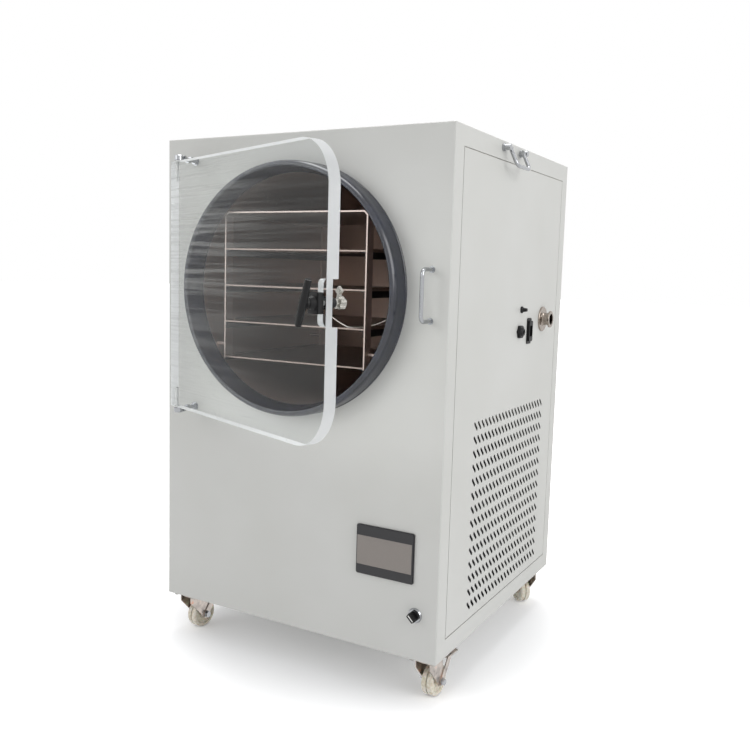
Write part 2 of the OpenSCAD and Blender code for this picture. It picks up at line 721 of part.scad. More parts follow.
module power_inlet() color(black) on_right(inlet_at[0], inlet_at[1]) difference() {
    union() {
        linear_extrude(2.5) round_rect(26, 60, 4);
        linear_extrude(7) round_rect(22, 48, 5);
        translate([0, 0, -30]) cylinder(r = 11, h = 31);
    }
    translate([0, 0, 1]) linear_extrude(8) round_rect(17, 26, 3);
}

module vent_plug() color(black) on_right(plug_at[0], plug_at[1]) rotate_extrude() polygon([
    [0, -8], [6, -8], [6, 0], [7.5, 0], [7.5, 3], [5, 5], [3.6, 14], [0, 14]]);

// ---- casters ----

casters = [
    ["fr", [cab_w / 2 - caster_inset_x, front_y + caster_inset_front], -3],
    ["fl", [-cab_w / 2 + caster_inset_x, front_y + caster_inset_front], -6],
    ["rr", [cab_w / 2 - caster_inset_x, -front_y - caster_inset_rear], 47],
    ["rl", [-cab_w / 2 + caster_inset_x, -front_y - caster_inset_rear], 20]
];
plate_w = 64;
plate_d = 70;
plate_t = 3;
race_r = 22;
king_r = 6;
crown_t = 2.5;
crown_top = caster_h - plate_t - 6;
leg_gap = wheel_w / 2 + 2.5;                 // inner face of a fork leg from the wheel's middle
leg_t = 2.5;
axle_r = 4;
bolt_af = 13;

// Places the children at one caster, on its swivel axis, trailing along +Y
module at_caster(i) translate([casters[i][1][0], casters[i][1][1], 0]) rotate([0, 0, casters[i][2]])
    children();

module caster_plates() color(zinc) for (i = [0:3]) translate([casters[i][1][0], casters[i][1][1], 0]) {
    difference() {
        translate([0, 0, caster_h - plate_t]) linear_extrude(plate_t) round_rect(plate_w, plate_d, 6);
        for (x = [-1, 1], y = [-1, 1]) translate([x * (plate_w / 2 - 8), y * (plate_d / 2 - 8),
            caster_h - plate_t - 1])
            cylinder(r = 3.3, h = plate_t + 2);
    }
    translate([0, 0, crown_top + 0.3]) cylinder(r1 = race_r, r2 = race_r + 3,
        h = caster_h - plate_t - crown_top - 0.3);
    translate([0, 0, crown_top - crown_t - 3]) cylinder(r = king_r - turn_clear, h = 8);
    translate([0, 0, crown_top - crown_t - 3.3]) cylinder(r = king_r + 3, h = 3);
}

// Side view of a fork leg: broad under the crown, narrow round the axle
module leg_outline() {
    translate([caster_trail, wheel_r]) circle(10);
    polygon([[-22, crown_top], [24, crown_top], [30, crown_top - 8], [caster_trail + 10, wheel_r],
             [caster_trail - 8.5, wheel_r - 5.2], [-22, crown_top - 16]]);
}

module fork(i) color(zinc) at_caster(i) difference() {
    union() {
        translate([0, 0, crown_top - crown_t]) linear_extrude(crown_t) {
            circle(race_r + 1);
            translate([0, 1]) square([2 * (leg_gap + leg_t), 46], center = true);
        }
        for (s = [-1, 1]) translate([s * (leg_gap + leg_t / 2), 0, 0]) rotate([90, 0, 90])
            linear_extrude(leg_t, center = true) leg_outline();
    }
    translate([0, 0, crown_top - 2 * crown_t]) cylinder(r = king_r, h = 4 * crown_t);
    translate([-50, caster_trail, wheel_r]) x_rod(axle_r + 0.05, 100);
}

module axle(i) color(chrome) at_caster(i) translate([0, caster_trail, wheel_r]) {
    out = leg_gap + leg_t + (i < 2 ? 2.8 : 0);
    translate([-out - 10, 0, 0]) x_rod(axle_r, 2 * out + 11);
    translate([out, 0, 0]) rotate([0, 90, 0]) hex(bolt_af, 5.5);
    translate([out, 0, 0]) x_rod(8, 1.2);
    translate([-out - 6.5, 0, 0]) rotate([0, 90, 0]) hex(bolt_af, 6.5);
}

hub_r = 11;
hub_w = 2 * leg_gap - 1;
rim_r = wheel_r - 7;
web_in = 4;
groove_w = 3;
groove_d = 1.6;
tread_round = 4;

// Half section of the wheel: x is the radius, y runs across the tread
module wheel_section() {
    b = axle_r + turn_clear;
    h = wheel_w / 2;
    polygon(concat(
        [[b, -hub_w / 2], [hub_r, -hub_w / 2], [hub_r + 1, -h + web_in], [rim_r - 2, -h + web_in], [rim_r,
            -h]],
        [for (a = [0:15:90]) [wheel_r - tread_round + tread_round * sin(a),
            -h + tread_round - tread_round * cos(a)]],
        [[wheel_r, -groove_w / 2], [wheel_r - groove_d, -groove_w / 2 + 0.8], [wheel_r - groove_d,
            groove_w / 2 - 0.8],
         [wheel_r, groove_w / 2]],
        [for (a = [90:-15:0]) [wheel_r - tread_round + tread_round * sin(a),
            h - tread_round + tread_round * cos(a)]],
        [[rim_r, h], [rim_r - 2, h - web_in], [hub_r + 1, h - web_in], [hub_r, hub_w / 2], [b, hub_w / 2]]));
}

module wheel(i) color(nylon) at_caster(i) translate([0, caster_trail, wheel_r]) rotate([0, 90, 0])
    rotate_extrude($fn = 96) wheel_section();

pedal_w = 30;
pedal_t = 3;
module brake_pedal(i) color(black) at_caster(i) translate([0, caster_trail, wheel_r]) difference() {
    union() {
        for (s = [-1, 1]) translate([s * (leg_gap + leg_t + 1.4), 0, 0]) rotate([90, 0, 90])
            linear_extrude(2, center = true) difference() {
                union() {
                    circle(8.5);
                    polygon([[-4, 7.5], [8.4, 0], [34, 36], [34, 44], [22, 44]]);
                }
                circle(axle_r + 0.1);
            }
        translate([-leg_gap - leg_t - 2.4, 22, 44 - pedal_t]) cube([2 * (leg_gap + leg_t + 2.4), 46,
            pedal_t]);
        translate([-pedal_w / 2, 46, 44 - eps]) cube([pedal_w, 22, 4]);
    }
}

// ---- fasteners of the cabinet ----

screw_r = 2;
rear_screws = [for (s = [-1, 1], k = [0:3]) [s * (cab_w / 2 - 20), base_z + 30 + k * (cab_h - 60) / 3]];

// Pan-head screw pointing along -Y
module screw() rotate([90, 0, 0]) {
    cylinder(r = screw_r, h = 10);
    translate([0, 0, -2.4]) cylinder(r1 = 3, r2 = 4, h = 2.4);
}

module fasteners() color(chrome) {
    for (p = rear_screws) translate([p[0], -front_y, p[1]]) screw();
    for (c = casters, x = [-1, 1], y = [-1, 1])
        translate([c[1][0] + x * (plate_w / 2 - 8), c[1][1] + y * (plate_d / 2 - 8), 0]) {
            translate([0, 0, caster_h - plate_t - 4.5]) hex(10, 4.5);
            translate([0, 0, caster_h - plate_t - 1]) cylinder(r = 3, h = plate_t + 1);
        }
}

// ---- refrigeration and controls inside ----

deck_z = base_z + sheet_t;
comp_at = [-110, 60];
comp_r = 95;
module compressor() color(black) translate([comp_at[0], comp_at[1], deck_z]) {
    for (x = [-1, 1], y = [-1, 1]) translate([x * 90, y * 75, 0]) cylinder(r = 14, h = 18);
    translate([0, 0, 18]) linear_extrude(4) round_rect(220, 190, 12);
    translate([0, 0, 22 - eps]) rotate_extrude() polygon(concat([[0, 0], [comp_r - 8, 0], [comp_r, 12],
        [comp_r, 120]],
        [for (a = [0:15:90]) [comp_r * cos(a), 120 + 60 * sin(a)]]));
    translate([0, 0, 195]) cylinder(r = 8, h = 20);
}

cond_x = 250;
cond_y = 15;
cond_z = deck_z + 165.5;
fan_r = 140;
shaft_r = 5;
module condenser() color("#9a9c9e") translate([cond_x, cond_y, cond_z]) {
    translate([30, 0, 0]) cube([4, 330, 330], center = true);
    for (k = [-10:10]) translate([48, k * 16, 0]) cube([34, 1.2, 330], center = true);
    for (z = [-1, 1]) translate([48, 0, z * 164]) cube([36, 330, 3], center = true);
    difference() {
        translate([-30, 0, 0]) cube([116, 330, 330], center = true);
        translate([-30, 0, 0]) cube([130, 322, 322], center = true);
    }
    difference() {
        translate([-60, 0, 0]) cube([3, 324, 324], center = true);
        translate([-70, 0, 0]) x_rod(fan_r + 6, 20);
    }
    for (a = [0, 90]) rotate([a, 0, 0]) translate([-86, 0, 0]) cube([4, 323, 16], center = true);
    translate([-85, 0, 0]) x_rod(22, 30);
    translate([-56, 0, 0]) x_rod(shaft_r - 0.06, 8);
}

module condenser_fan() color(black) translate([cond_x - 50, cond_y, cond_z]) difference() {
    union() {
        x_rod(26, 26);
        for (k = [0:4]) rotate([k * 72, 0, 0]) translate([13, 0, 82]) rotate([0, 0, 28])
            cube([3, 60, 112], center = true);
    }
    translate([-5, 0, 0]) x_rod(shaft_r, 8);
}

coil_r = 5;
coil_turns = 9;
coil_gap = 0.3;
module evaporator_coil() color(copper) at_mouth() {
    for (k = [0:coil_turns - 1]) translate([0, 60 + k * 40, 0]) rotate([-90, 0, 0])
        rotate_extrude($fn = 96) translate([drum_r + drum_t + coil_gap + coil_r, 0]) circle(coil_r, $fn = 24);
    for (s = [-1, 1]) translate([s * 20, 60, -drum_r - drum_t - coil_r - 1]) y_rod(coil_r - 1,
        (coil_turns - 1) * 40);
}

coil_space = 2 * coil_r + 2;
foam_start = 12;                             // behind the cabinet's front
module insulation() color("#2a2a2c") at_mouth() difference() {
    translate([0, foam_start, 0]) y_rod(foam_r, drum_depth + foam_t / 2, $fn = 96);
    translate([0, foam_start - 1, 0]) y_rod(drum_r + drum_t + coil_space, drum_depth - foam_start + 1,
        $fn = 96);
    translate([outlet_x, drum_depth - 5, outlet_z]) y_rod(outlet_r + 4, 60);
}

module control_box() color("#b9bbb8") translate([-230, front_y + 110, deck_z + 170]) difference() {
    translate([-80, -60, -170]) cube([160, 90, 340]);
    translate([-78, -58, -168]) cube([156, 100, 336]);
}

pipe_bend = 40;

// Way of the suction pipe from the drum's back to the port, by its radius and overrun at the ends
module suction_way(r, over) translate([outlet_x, 0, base_z + port_at[1]]) {
    start_y = front_y + drum_depth - 4;
    turn_y = front_y + port_at[0];
    translate([0, start_y - over, 0]) y_rod(r, turn_y - start_y - pipe_bend + over);
    translate([0, turn_y - pipe_bend, 0]) rotate([0, 0, 90]) mirror([0, 1, 0]) bend(pipe_bend, r);
    translate([pipe_bend, turn_y, 0]) x_rod(r, cab_w / 2 - port_tail - outlet_x - pipe_bend + over);
}

module suction_pipe() color(zinc) difference() {
    suction_way(outlet_r - 0.2, 0);
    suction_way(outlet_r - 1.5, 1);
}

// ---- drawing ----

front_panel();
top_cover();
base_tray();
rear_panel();
right_side_panel();
left_side_panel();
frame();
fasteners();
chamber();
door_seal();
rack_frame();
rack_rails();
shelf(0);  // shelf_1
shelf(1);  // shelf_2
shelf(2);  // shelf_3
shelf(3);  // shelf_4
shelf_heaters();
probe_lead();
hmi_bezel();
hmi_screen();
selector_body();
selector_knob();
catch_bar();
hinge_eyes();
hinge_pins();
door_pane();
latch_base();
latch_bush();
latch_handle();
latch_spindle();
latch_hook();
handle_bosses();
bail_right();
bail_left();
vacuum_port();
cable_gland();
power_inlet();
vent_plug();
caster_plates();
fork(0);  // caster_fork_fr
fork(1);  // caster_fork_fl
fork(2);  // caster_fork_rr
fork(3);  // caster_fork_rl
wheel(0);  // caster_wheel_fr
wheel(1);  // caster_wheel_fl
wheel(2);  // caster_wheel_rr
wheel(3);  // caster_wheel_rl
axle(0);  // caster_axle_fr
axle(1);  // caster_axle_fl
axle(2);  // caster_axle_rr
axle(3);  // caster_axle_rl
brake_pedal(0);  // brake_pedal_fr
brake_pedal(1);  // brake_pedal_fl
compressor();
condenser();
condenser_fan();
evaporator_coil();
insulation();
control_box();
suction_pipe();
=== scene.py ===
# Laboratory freeze dryer: finishes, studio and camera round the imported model.
import math
import bmesh
import bpy
from mathutils import Matrix, Vector


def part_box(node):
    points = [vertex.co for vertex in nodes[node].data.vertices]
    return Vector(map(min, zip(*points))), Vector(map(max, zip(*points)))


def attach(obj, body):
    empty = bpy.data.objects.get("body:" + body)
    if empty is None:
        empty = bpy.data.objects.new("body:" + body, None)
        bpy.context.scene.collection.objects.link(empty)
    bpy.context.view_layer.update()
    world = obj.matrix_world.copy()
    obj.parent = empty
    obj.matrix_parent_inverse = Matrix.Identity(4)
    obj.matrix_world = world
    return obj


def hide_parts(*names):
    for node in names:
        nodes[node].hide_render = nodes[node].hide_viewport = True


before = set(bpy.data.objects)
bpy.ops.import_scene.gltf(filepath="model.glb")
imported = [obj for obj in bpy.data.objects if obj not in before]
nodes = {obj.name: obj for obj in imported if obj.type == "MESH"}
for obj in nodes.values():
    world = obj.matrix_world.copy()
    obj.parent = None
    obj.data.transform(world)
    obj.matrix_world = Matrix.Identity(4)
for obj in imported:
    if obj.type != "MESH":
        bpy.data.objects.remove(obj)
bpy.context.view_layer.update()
print("frame loaded:", len(nodes), "nodes")


def fromHex(text):
    # sRGB hex to the linear red, green, blue and alpha that the shaders take
    channels = [int(text[i:i + 2], 16) / 255 for i in (1, 3, 5)]
    linear = [c / 12.92 if c <= 0.04045 else ((c + 0.055) / 1.055) ** 2.4 for c in channels]
    return linear + [1.0]


def perMetre(mm):
    return 1000.0 / mm


def addNode(tree, kind, links=None, **settings):
    # settings are the node's own properties; links fill its sockets with values or other sockets
    node = tree.nodes.new(kind)
    for name, value in settings.items():
        setattr(node, name, value)
    for socket, value in (links or {}).items():
        if isinstance(value, bpy.types.NodeSocket):
            tree.links.new(value, node.inputs[socket])
        else:
            node.inputs[socket].default_value = value
    return node


def startMaterial(name, sockets):
    # sockets are the Principled shader's; place is a point's position on the object, in metres
    material = bpy.data.materials.new(name)
    material.use_nodes = True
    tree = material.node_tree
    surface = tree.nodes["Principled BSDF"]
    for socket, value in sockets.items():
        surface.inputs[socket].default_value = value
    place = addNode(tree, "ShaderNodeTexCoord").outputs["Object"]
    return material, tree, surface, place


noiseStops = (0.3, 0.7)  # where most of a noise lies


def varyColour(tree, surface, mask, colours, stops=noiseStops):
    ramp = addNode(tree, "ShaderNodeValToRGB", {"Fac": mask})
    points = ramp.color_ramp.elements
    for i, (colour, stop) in enumerate(zip(colours, stops)):
        point = points[i] if i < 2 else points.new(stop)  # a new ramp has two points
        point.position = stop
        point.color = fromHex(colour)
    tree.links.new(ramp.outputs["Color"], surface.inputs["Base Color"])
    return ramp.outputs["Color"]


def varyRoughness(tree, surface, mask, span):
    low, high = span
    spread = addNode(tree, "ShaderNodeMapRange", {"Value": mask, "To Min": low, "To Max": high})
    tree.links.new(spread.outputs["Result"], surface.inputs["Roughness"])


def addRelief(tree, surface, height, relief):
    strength, depthMm = relief
    bump = addNode(tree, "ShaderNodeBump", {"Height": height, "Strength": strength,
                                            "Distance": depthMm / 1000})
    tree.links.new(bump.outputs["Normal"], surface.inputs["Normal"])


def mixColours(tree, factor, first, second):
    # a Mix node's colours go in at sockets 6 and 7 and come out at 2
    mix = addNode(tree, "ShaderNodeMix", {0: factor, 6: first, 7: second}, data_type="RGBA")
    return mix.outputs[2]


def makeMottled(name, s):
    # one cloud of noise moves colour, roughness and relief together, unless a grain has the relief
    material, tree, surface, place = startMaterial(name, s["sockets"])
    cloud = addNode(tree, "ShaderNodeTexNoise", {"Vector": place, "Scale": perMetre(s["patternMm"]),
                                                 "Detail": s["detail"]})
    mask = height = cloud.outputs["Fac"]
    if "grainMm" in s:
        grain = addNode(tree, "ShaderNodeTexNoise", {"Vector": place,
                                                     "Scale": perMetre(s["grainMm"])})
        height = grain.outputs["Fac"]
    if "colours" in s:
        varyColour(tree, surface, mask, s["colours"], s.get("stops", noiseStops))
    if "roughness" in s:
        varyRoughness(tree, surface, mask, s["roughness"])
    if "relief" in s:
        addRelief(tree, surface, height, s["relief"])
    return material


# Powder-coated sheet steel: pale grey and satin, with a fine orange peel. The sheets' faces inside the
# cabinet carry a painted shade, dark grey, so nothing pale shows through the slots.
powderCoat = {
    "colours": ("#C8C8C3", "#CDCDC9"), "cloudMm": 260, "cloudDetail": 2, "roughness": 0.45,
    "insideShade": "#2B2C2E", "skinMm": 0.9, "peelMm": 1.6, "peelDetail": 1, "relief": (0.12, 0.05),
    "sheets": ("front_panel", "rear_panel", "top_cover", "base_tray", "right_side_panel"),
}


def makePowderCoat():
    s = powderCoat
    material, tree, surface, place = startMaterial("powder_coat", {"Roughness": s["roughness"]})
    cloud = addNode(tree, "ShaderNodeTexNoise", {"Vector": place, "Scale": perMetre(s["cloudMm"]),
                                                 "Detail": s["cloudDetail"]})
    tone = varyColour(tree, surface, cloud.outputs["Fac"], s["colours"])
    boxes = [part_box(name) for name in s["sheets"]]
    low = [min(box[0][i] for box in boxes) for i in range(3)]
    high = [max(box[1][i] for box in boxes) for i in range(3)]
    low[0] = -high[0]  # the cabinet reaches as far left as right
    middle = [(a + b) / 2 for a, b in zip(low, high)]
    depth = [(b - a) / 2 - s["skinMm"] / 1000 for a, b in zip(low, high)]
    # a point is inside where it lies deeper than the skin along all three axes
    centred = addNode(tree, "ShaderNodeVectorMath", {0: place, 1: middle}, operation="SUBTRACT")
    scaled = addNode(tree, "ShaderNodeVectorMath", {0: centred.outputs["Vector"], 1: depth},
                     operation="DIVIDE")
    folded = addNode(tree, "ShaderNodeVectorMath", {0: scaled.outputs["Vector"]},
                     operation="ABSOLUTE")
    reach = addNode(tree, "ShaderNodeSeparateXYZ", {"Vector": folded.outputs["Vector"]})
    wider = addNode(tree, "ShaderNodeMath", {0: reach.outputs["X"], 1: reach.outputs["Y"]},
                    operation="MAXIMUM")
    furthest = addNode(tree, "ShaderNodeMath", {0: wider.outputs[0], 1: reach.outputs["Z"]},
                       operation="MAXIMUM")
    inside = addNode(tree, "ShaderNodeMath", {0: furthest.outputs[0], 1: 1.0},
                     operation="LESS_THAN")
    # painted shade: dark grey on every face deeper than the skin, inside the cabinet
    coat = mixColours(tree, inside.outputs[0], tone, fromHex(s["insideShade"]))
    tree.links.new(coat, surface.inputs["Base Color"])
    peel = addNode(tree, "ShaderNodeTexNoise", {"Vector": place, "Scale": perMetre(s["peelMm"]),
                                                "Detail": s["peelDetail"]})
    addRelief(tree, surface, peel.outputs["Fac"], s["relief"])
    return material


# Rolled stainless sheet: the mill's grain stretches what it mirrors, along X in the drum and along Y
# on the rack. A thin dried film scatters a little light, so the surface isn't all metal.
millSteel = {
    # painted reflection: the drum's warm brown stands in for a brown room the steel mirrors
    "drum": {"colour": "#C6B3A9", "roughness": (0.32, 0.54), "grainAxis": 0},
    "rack": {"colour": "#C2B4AD", "roughness": (0.26, 0.48), "grainAxis": 1},
    "metallic": 0.9, "grainMm": 0.8, "detail": 3, "stretch": 40, "relief": (0.15, 0.02),
}


def makeMillSteel(name, sheet):
    s = millSteel
    material, tree, surface, place = startMaterial(name, {"Base Color": fromHex(sheet["colour"]),
                                                          "Metallic": s["metallic"]})
    scale = [s["stretch"]] * 3
    scale[sheet["grainAxis"]] = 1.0
    stretched = addNode(tree, "ShaderNodeMapping", {"Vector": place, "Scale": scale})
    grain = addNode(tree, "ShaderNodeTexNoise", {"Vector": stretched.outputs["Vector"],
                                                 "Scale": perMetre(s["grainMm"] * s["stretch"]),
                                                 "Detail": s["detail"]})
    varyRoughness(tree, surface, grain.outputs["Fac"], sheet["roughness"])
    addRelief(tree, surface, grain.outputs["Fac"], s["relief"])
    return material


# Moulded silicone rubber: blue-black, with a clear line of light along its crest and faint dust
siliconeSeal = {
    "colours": ("#0E1322", "#181E31"), "stops": (0.4, 0.75), "patternMm": 45, "detail": 1,
    "roughness": (0.2, 0.25), "sockets": {"Specular IOR Level": 0.95},
}

# Chrome-plated steel: mirror bright, with faint handling marks
chromePlate = {
    "patternMm": 14, "detail": 4, "roughness": (0.05, 0.16),
    "sockets": {"Base Color": fromHex("#AEB0B3"), "Metallic": 1.0},
}

# Zinc-plated pressed steel: pale, slightly clouded and spangled
zincPlate = {
    "colours": ("#8F8D88", "#C6C3BC"), "patternMm": 7, "detail": 5, "roughness": (0.26, 0.46),
    "grainMm": 0.7, "relief": (0.1, 0.02), "sockets": {"Metallic": 1.0},
}

# Passivated zinc on the casters: the same plate with a pink tint that comes and goes
tintedZinc = {
    "colours": ("#A39C97", "#D3C9C1", "#DDA48C"), "stops": (0.35, 0.62, 0.72), "patternMm": 16,
    "detail": 4, "roughness": (0.2, 0.42), "sockets": {"Metallic": 1.0},
}

# Nickel-plated zinc casting: warm grey, softer than chrome, slightly rippled by the mould
nickelCasting = {
    "colours": ("#9B9993", "#BDBBB5"), "patternMm": 4, "detail": 3, "roughness": (0.12, 0.3),
    "relief": (0.2, 0.1), "sockets": {"Metallic": 1.0},
}

# Turned stainless bar: browner and darker than nickel, with the same soft unevenness; the brown and
# the dark are a painted reflection of dark brown surroundings
turnedStainless = {**nickelCasting, "colours": ("#8D8379", "#AAA097")}

# Moulded glass-filled nylon: black and matte, with the mould's spark-eroded grain. The rack's side
# rails are given the same black.
blackNylon = {
    "colours": ("#0B0B0C", "#121214"), "patternMm": 0.6, "detail": 2, "relief": (0.25, 0.05),
    "sockets": {"Roughness": 0.44, "Specular IOR Level": 0.32},
}

# Printed polycarbonate film on a moulded bezel: dark grey, half gloss
panelFilm = {
    "colours": ("#262628", "#2E2E30"), "patternMm": 0.5, "detail": 2, "relief": (0.08, 0.02),
    "sockets": {"Roughness": 0.3},
}

# Resistive touch glass over a display that is off: warm grey under an anti-glare coat
touchGlass = {
    "colours": ("#7B746E", "#8A837D"), "patternMm": 0.4, "detail": 2,
    "sockets": {"Roughness": 0.28, "Coat Weight": 0.4, "Coat Roughness": 0.12},
}

# Anodised aluminium plate: warm grey and satin, faintly clouded
anodisedShelf = {
    "colours": ("#958780", "#AD9F97"), "patternMm": 3, "detail": 4, "relief": (0.2, 0.02),
    "sockets": {"Roughness": 0.32, "Metallic": 1.0},
}

# Expanded nitrile foam: black and dull, with a rough skin
nitrileFoam = {
    "colours": ("#18181A", "#232325"), "patternMm": 2, "detail": 4, "relief": (0.2, 0.3),
    "sockets": {"Roughness": 0.85},
}

# Drawn copper tube: bright where it was handled, browner between
copperTube = {
    "colours": ("#9A5B36", "#C98A5E"), "patternMm": 5, "detail": 4, "relief": (0.2, 0.03),
    "sockets": {"Roughness": 0.3, "Metallic": 1.0},
}

# Stoved enamel on the compressor's pressed shell: black and glossy
shellEnamel = {
    "colours": ("#0E0E10", "#161618"), "patternMm": 2, "detail": 4, "relief": (0.2, 0.03),
    "sockets": {"Roughness": 0.25},
}

# Rolled aluminium foil of the condenser's fins: pale and soft
finFoil = {
    "colours": ("#A5A7A9", "#C4C6C8"), "patternMm": 3, "detail": 4, "relief": (0.2, 0.03),
    "sockets": {"Roughness": 0.35, "Metallic": 1.0},
}

# Extruded silicone jacket of the temperature lead: warm white
leadJacket = {
    "colours": ("#D8D4CC", "#ECE8E0"), "patternMm": 2, "detail": 4, "relief": (0.2, 0.02),
    "sockets": {"Roughness": 0.45},
}

# Cured silicone heater mat: brown and matte, slightly pebbled
heaterMat = {
    "colours": ("#4A3B34", "#5E4B42"), "patternMm": 1, "detail": 4, "relief": (0.2, 0.08),
    "sockets": {"Roughness": 0.6},
}

# Cast nylon of the wheels: cream and waxy, with scuffs on the tread and painted shade, dark brown, in
# the groove
castNylon = {
    "colours": ("#D0C6AE", "#E9E3D5"), "stops": (0.35, 0.6), "scuffMm": 6, "detail": 8,
    "roughness": (0.5, 0.3), "relief": (0.15, 0.1), "waxy": 0.1, "waxyDepth": 0.003,
    "creviceShade": "#4A3826", "grooveMm": 5, "grooveRays": 8, "shadeFrom": 0.25, "shadeTo": 0.85,
}


def makeCastNylon():
    s = castNylon
    material, tree, surface, place = startMaterial("cast_nylon", {"Subsurface Weight": s["waxy"],
                                                                  "Subsurface Scale": s["waxyDepth"]})
    scuff = addNode(tree, "ShaderNodeTexNoise", {"Vector": place, "Scale": perMetre(s["scuffMm"]),
                                                 "Detail": s["detail"]})
    tone = varyColour(tree, surface, scuff.outputs["Fac"], s["colours"], s["stops"])
    # painted shade: where ambient occlusion finds the tread's groove and the hub, the colour goes dark
    # brown
    crevice = addNode(tree, "ShaderNodeAmbientOcclusion", {"Distance": s["grooveMm"] / 1000},
                      samples=s["grooveRays"])
    unshaded = addNode(tree, "ShaderNodeMapRange", {"Value": crevice.outputs["AO"],
                                                 "From Min": s["shadeFrom"], "From Max": s["shadeTo"]})
    shadedTone = mixColours(tree, unshaded.outputs["Result"], fromHex(s["creviceShade"]), tone)
    tree.links.new(shadedTone, surface.inputs["Base Color"])
    varyRoughness(tree, surface, scuff.outputs["Fac"], s["roughness"])
    addRelief(tree, surface, scuff.outputs["Fac"], s["relief"])
    return material


# Turned nylon of the hinge pins: white, with tool rings drawn coarser than real ones so they show
whiteNylon = {"colours": ("#DEDEDA", "#EAEAE6"), "roughness": 0.4, "ringMm": 3.14}
waveLength = math.pi / 10  # one band of a wave texture at scale 1, in metres


def makeWhiteNylon():
    s = whiteNylon
    material, tree, surface, place = startMaterial("white_nylon", {"Roughness": s["roughness"]})
    rings = addNode(tree, "ShaderNodeTexWave", {"Vector": place,
                                                "Scale": perMetre(s["ringMm"]) * waveLength},
                    bands_direction="Z")
    varyColour(tree, surface, rings.outputs["Fac"], s["colours"])
    return material


# Cast acrylic, polished on both faces. The body's index is far below acrylic's 1.49, so that what is
# behind the pane is hardly shifted; the coat has the full index and gives the polish's glint.
castAcrylic = {
    "clear": "#FAFCFC", "index": 1.07, "coat": 0.3, "coatIndex": 1.49, "coatRoughness": 0.03,
    "shadow": "#FAFAFA",
}

# Film left by wiping: level streaks, thickest towards the hinges and the top, and a few scratches
wipedHaze = {
    "film": "#B9B9B6", "most": 0.34, "streakMm": 6, "streakLong": 55, "streakDetail": 4,
    "streak": {"From Min": 0.46, "From Max": 0.66},
    # from where to where, in metres along X and along Z, and how much haze at each end
    "byHinges": {"From Min": 0.1, "From Max": -0.28, "To Min": 0.1, "To Max": 1.0},
    "byTop": {"From Min": 0.7, "From Max": 0.95, "To Min": 0.3, "To Max": 1.0},
    "scratchMm": 60, "scratch": {"From Min": 0.012, "From Max": 0.004, "To Max": 0.35},
    "breakMm": 35, "breakDetail": 1, "breaks": {"From Min": 0.6, "From Max": 0.68},
}


def hazeAmount(tree, place):
    s = wipedHaze
    long = addNode(tree, "ShaderNodeMapping", {"Vector": place, "Scale": (1, 1, s["streakLong"])})
    streak = addNode(tree, "ShaderNodeTexNoise", {"Vector": long.outputs["Vector"],
                                                  "Detail": s["streakDetail"],
                                                  "Scale": perMetre(s["streakMm"] * s["streakLong"])})
    lines = addNode(tree, "ShaderNodeMapRange", {"Value": streak.outputs["Fac"], **s["streak"]})
    spot = addNode(tree, "ShaderNodeSeparateXYZ", {"Vector": place})
    hingeSide = addNode(tree, "ShaderNodeMapRange", {"Value": spot.outputs["X"], **s["byHinges"]})
    upper = addNode(tree, "ShaderNodeMapRange", {"Value": spot.outputs["Z"], **s["byTop"]})
    where = addNode(tree, "ShaderNodeMath", {0: hingeSide.outputs["Result"],
                                             1: upper.outputs["Result"]}, operation="MULTIPLY")
    wiped = addNode(tree, "ShaderNodeMath", {0: where.outputs[0], 1: lines.outputs["Result"]},
                    operation="MULTIPLY")
    # the scratches are drawn wide enough to show, and broken into short lengths
    cells = addNode(tree, "ShaderNodeTexVoronoi", {"Vector": place, "Scale": perMetre(s["scratchMm"])},
                    feature="DISTANCE_TO_EDGE")
    scratch = addNode(tree, "ShaderNodeMapRange", {"Value": cells.outputs["Distance"], **s["scratch"]})
    broken = addNode(tree, "ShaderNodeTexNoise", {"Vector": place, "Scale": perMetre(s["breakMm"]),
                                                  "Detail": s["breakDetail"]})
    rare = addNode(tree, "ShaderNodeMapRange", {"Value": broken.outputs["Fac"], **s["breaks"]})
    marks = addNode(tree, "ShaderNodeMath", {0: scratch.outputs["Result"], 1: rare.outputs["Result"]},
                    operation="MULTIPLY")
    both = addNode(tree, "ShaderNodeMath", {0: wiped.outputs[0], 1: marks.outputs[0]}, operation="ADD")
    amount = addNode(tree, "ShaderNodeMath", {0: both.outputs[0], 1: s["most"]}, operation="MULTIPLY")
    return amount.outputs[0]


def makeClearAcrylic():
    s = castAcrylic
    sockets = {"Base Color": fromHex(s["clear"]), "Roughness": 0.0, "IOR": s["index"],
               "Transmission Weight": 1.0, "Coat Weight": s["coat"], "Coat IOR": s["coatIndex"],
               "Coat Roughness": s["coatRoughness"]}
    material, tree, surface, place = startMaterial("clear_acrylic", sockets)
    film = addNode(tree, "ShaderNodeBsdfDiffuse", {"Color": fromHex(wipedHaze["film"])})
    hazed = addNode(tree, "ShaderNodeMixShader", {0: hazeAmount(tree, place), 1: surface.outputs[0],
                                                  2: film.outputs[0]})
    # light reaches the chamber straight through the pane
    path = addNode(tree, "ShaderNodeLightPath")
    through = addNode(tree, "ShaderNodeBsdfTransparent", {"Color": fromHex(s["shadow"])})
    shown = addNode(tree, "ShaderNodeMixShader", {0: path.outputs["Is Shadow Ray"],
                                                  1: hazed.outputs[0], 2: through.outputs[0]})
    tree.links.new(shown.outputs[0], tree.nodes["Material Output"].inputs["Surface"])
    return material


# Sawn acrylic edge: scatters light both ways, so it is white from outside and inside the pane
sawnEdge = {
    "colour": "#D2D4D4", "roughness": 0.5, "within": "#F2F3F3", "glow": 0.4, "sawMm": 1.5,
    "detail": 3, "relief": (0.15, 0.05),
}


